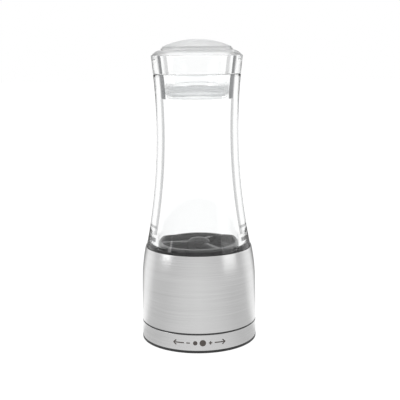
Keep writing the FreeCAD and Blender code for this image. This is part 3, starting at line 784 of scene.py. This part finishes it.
class MILL_OT_works(bpy.types.Operator):
    """Finish the mouldings, the burr, the shaft, the spring and the marks"""
    bl_idname = "mill.works"
    bl_label = "Mechanism"

    def execute(self, context):
        colours = context.scene.mill_colours
        gloss = moulded_black("black_funnel", [c * 0.4 for c in colours.black], 0.15, 900.0, 0.28)
        satin = moulded_black("black_moulding", colours.black, 0.42, 1800.0, 0.4)
        finishes = {
            gloss: ["drive_carrier"],
            satin: ["base_housing", "stator_retainer", "glide_ring", "adjuster_core", "lift_bridge"],
            fired_ceramic("burr_ceramic", colours.ceramic): ["rotor_cone", "stator_ring"],
            bright_metal("ground_steel", (0.58, 0.58, 0.60), 0.25, 1500.0): ["drive_shaft", "spring_washer"],
            bright_metal("zinc_screws", (0.55, 0.56, 0.57), 0.35, 900.0): ["drive_screws", "stator_screws"],
            pale_plastic("thrust_plastic", (0.82, 0.80, 0.75)): ["thrust_cup"],
            pad_ink("mark_ink", colours.ink): ["grind_marks"],
        }
        for material, nodes in finishes.items():
            for node in nodes:
                refinish(node, material)
        return {"FINISHED"}


class MILL_OT_spring(bpy.types.Operator):
    """Wind the rotor's compression spring"""
    bl_idname = "mill.spring"
    bl_label = "Spring"

    def execute(self, context):
        sizes = context.scene.mill_sizes
        node = "rotor_spring"
        low_z, high_z = low(node).z, high(node).z
        wire_r = sizes.spring_wire / 2
        coil_r = outer_radius(node) - wire_r
        count = int(sizes.spring_turns * sizes.spring_steps)
        rise = (high_z - low_z - sizes.spring_wire) / count
        deselect_all()
        bpy.ops.mesh.primitive_circle_add(
            vertices=16, radius=wire_r, fill_type="NGON", location=(coil_r, 0, low_z + wire_r),
            rotation=(math.pi / 2, 0, 0))
        piece = bpy.context.object
        piece.name = "coil_spring"
        bpy.ops.object.transform_apply(location=True, rotation=True, scale=True)
        bpy.ops.object.mode_set(mode="EDIT")
        bpy.ops.mesh.select_mode(type="FACE")
        bpy.ops.mesh.select_all(action="SELECT")
        for step in range(count):
            bpy.ops.mesh.extrude_region_move(TRANSFORM_OT_translate={"value": (0, 0, rise)})
            bpy.ops.transform.rotate(
                value=2 * math.pi / sizes.spring_steps, orient_axis="Z", center_override=(0, 0, 0))
        bpy.ops.mesh.select_all(action="SELECT")
        bpy.ops.mesh.normals_make_consistent(inside=False)
        bpy.ops.object.mode_set(mode="OBJECT")
        bpy.ops.object.shade_smooth_by_angle(angle=SMOOTH_ANGLE)
        wire = bright_metal("spring_wire", (0.62, 0.62, 0.63), 0.22, 700.0)
        dress(piece, wire, "body", node)
        seat_z = high_z + sizes.spring_play
        travel = max(abs(limit) for limit in joint_limits("rotor_lift"))
        1 - travel / (seat_z - low_z)
        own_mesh(piece)
        return {"FINISHED"}


def joint_limits(name):
    return next(joint["range_m"] for joint in frame["joints"] if joint["name"] == name)


# ---------------------------------------------------------------- stage

def seen_through(rays):
    """1 for light paths that have passed through a clear piece."""
    return rays.out("Transmission Depth").math("MINIMUM", 1.0)


def studio_walls(finish, x, y):
    """Bright and dark walls round the studio, which the steel and the gloss show. 0 is behind the mill."""
    turn = x.math("ARCTAN2", y).math("ABSOLUTE") / math.pi
    greys = ((0.0, 0.95), (0.05, 0.9), (0.1, 0.2), (0.19, 0.3), (0.27, 1.3), (0.37, 1.3),
             (0.47, 0.8), (0.65, 0.78), (0.82, 0.95), (1.0, 1.05))
    stops = [(place, (grey, grey, grey)) for place, grey in greys]
    return finish.node("ShaderNodeValToRGB", {"stops": stops}, {0: turn}).out()


class MILL_OT_stage(bpy.types.Operator):
    """Set the floor, the surroundings, the lights and the camera"""
    bl_idname = "mill.stage"
    bl_label = "Stage"

    def execute(self, context):
        stage = context.scene.mill_stage
        self.lay_floor()
        self.surround(context.scene)
        self.hang_lights(stage)
        self.place_camera(context.scene, stage)
        context.scene.view_settings.view_transform = "Standard"
        context.scene.cycles.max_bounces = 32
        context.scene.cycles.transmission_bounces = 32
        context.scene.cycles.glossy_bounces = 12
        return {"FINISHED"}

    def lay_floor(self):
        deselect_all()
        bpy.ops.mesh.primitive_plane_add(size=8.0, location=(0, 0, 0))
        floor = bpy.context.object
        floor.name = "studio_floor"
        finish = new_finish("floor_paper")
        grain = finish.noise(finish.place(), 700.0, detail=3.0)
        tone = finish.blend(grain, (0.86, 0.86, 0.86, 1.0), (0.90, 0.90, 0.90, 1.0))
        paper = finish.node("ShaderNodeBsdfPrincipled", values={"Base Color": tone, "Roughness": 0.7}).out()
        rays = finish.node("ShaderNodeLightPath")
        x, y, z = finish.split(finish.place())
        mirrored = rays.out("Is Glossy Ray") * (1.0 - seen_through(rays))
        sheen = finish.blend(mirrored, (1.0, 1.0, 1.0, 1.0), studio_walls(finish, x, y))
        glow = finish.node("ShaderNodeEmission", values={"Color": sheen, "Strength": 1.1}).out()
        seen = rays.out("Is Camera Ray").math("MAXIMUM", rays.out("Is Transmission Ray"))
        seen = seen.math("MAXIMUM", rays.out("Is Glossy Ray"))
        mixed = finish.node("ShaderNodeMixShader", values={0: seen * 0.88, 1: paper, 2: glow}).out()
        finish.node("ShaderNodeOutputMaterial", values={"Surface": mixed})
        floor.data.materials.append(finish.owner)

    def surround(self, scene):
        """White where it is seen directly; softly flagged studio walls for steel, and white greying near the
        top for refraction.
        """
        world = bpy.data.worlds.new("studio")
        scene.world = world
        finish = Finish(world)
        x, y, z = finish.split(finish.node("ShaderNodeTexCoord").out("Generated"))
        through = finish.blend(z.between(0.75, 0.95), (1.0, 1.0, 1.0, 1.0), (0.6, 0.6, 0.6, 1.0))
        walls = studio_walls(finish, x, y)
        rays = finish.node("ShaderNodeLightPath")
        view = finish.blend(seen_through(rays), walls, through)
        view = finish.blend(rays.out("Is Camera Ray"), view, (1.0, 1.0, 1.0, 1.0))
        air = finish.node("ShaderNodeBackground", values={"Color": view, "Strength": 1.0}).out()
        finish.node("ShaderNodeOutputWorld", values={"Surface": air})

    def hang_lights(self, stage):
        self.softbox("key_softbox", (-0.75, -0.25, 0.45), (0.35, 0.7), stage.key_power)
        self.softbox("fill_softbox", (0.8, -0.35, 0.35), (0.5, 0.7), stage.fill_power)
        self.softbox("top_softbox", (0.0, 0.1, 0.95), (0.6, 0.6), stage.top_power)

    def softbox(self, name, place, size, power):
        lamp = bpy.data.lights.new(name, "AREA")
        lamp.shape = "RECTANGLE"
        lamp.size, lamp.size_y = size
        lamp.energy = power
        stand = bpy.data.objects.new(name, lamp)
        stand.location = place
        aim = Vector((0, 0, CAD_BOX[1].z / 2)) - stand.location
        stand.rotation_mode = "QUATERNION"
        stand.rotation_quaternion = aim.to_track_quat("-Z", "Y")
        bpy.context.scene.collection.objects.link(stand)

    def place_camera(self, scene, stage):
        data = bpy.data.cameras.new("camera")
        data.lens = stage.lens
        data.sensor_width = 36.0
        camera = bpy.data.objects.new("camera", data)
        camera.location = (stage.side, -stage.distance, stage.height)
        upright = Matrix.Rotation(math.pi / 2 - stage.tilt, 3, "X")
        camera.rotation_mode = "QUATERNION"
        camera.rotation_quaternion = (upright @ Matrix.Rotation(stage.roll, 3, "Z")).to_quaternion()
        scene.collection.objects.link(camera)
        scene.camera = camera


# ---------------------------------------------------------------- panel and start

STEPS = (MILL_OT_chamber, MILL_OT_stopper, MILL_OT_steel, MILL_OT_works, MILL_OT_spring, MILL_OT_stage)


class MILL_PT_panel(bpy.types.Panel):
    """Steps that build the mill"""
    bl_idname = "MILL_PT_panel"
    bl_label = "Pepper Mill"
    bl_space_type = "VIEW_3D"
    bl_region_type = "UI"
    bl_category = "Pepper Mill"

    def draw(self, context):
        for step in STEPS:
            self.layout.operator(step.bl_idname)


CLASSES = (MillSizes, MillColours, MillStage, *STEPS, MILL_PT_panel)


def register():
    for item in CLASSES:
        bpy.utils.register_class(item)
    bpy.types.Scene.mill_sizes = PointerProperty(type=MillSizes)
    bpy.types.Scene.mill_colours = PointerProperty(type=MillColours)
    bpy.types.Scene.mill_stage = PointerProperty(type=MillStage)


def unregister():
    del bpy.types.Scene.mill_stage
    del bpy.types.Scene.mill_colours
    del bpy.types.Scene.mill_sizes
    for item in reversed(CLASSES):
        bpy.utils.unregister_class(item)


def main():
    register()
    bpy.ops.mill.stage()
    bpy.ops.mill.chamber()
    bpy.ops.mill.stopper()
    bpy.ops.mill.steel()
    bpy.ops.mill.works()
    bpy.ops.mill.spring()


if __name__ == "__main__":
    main()
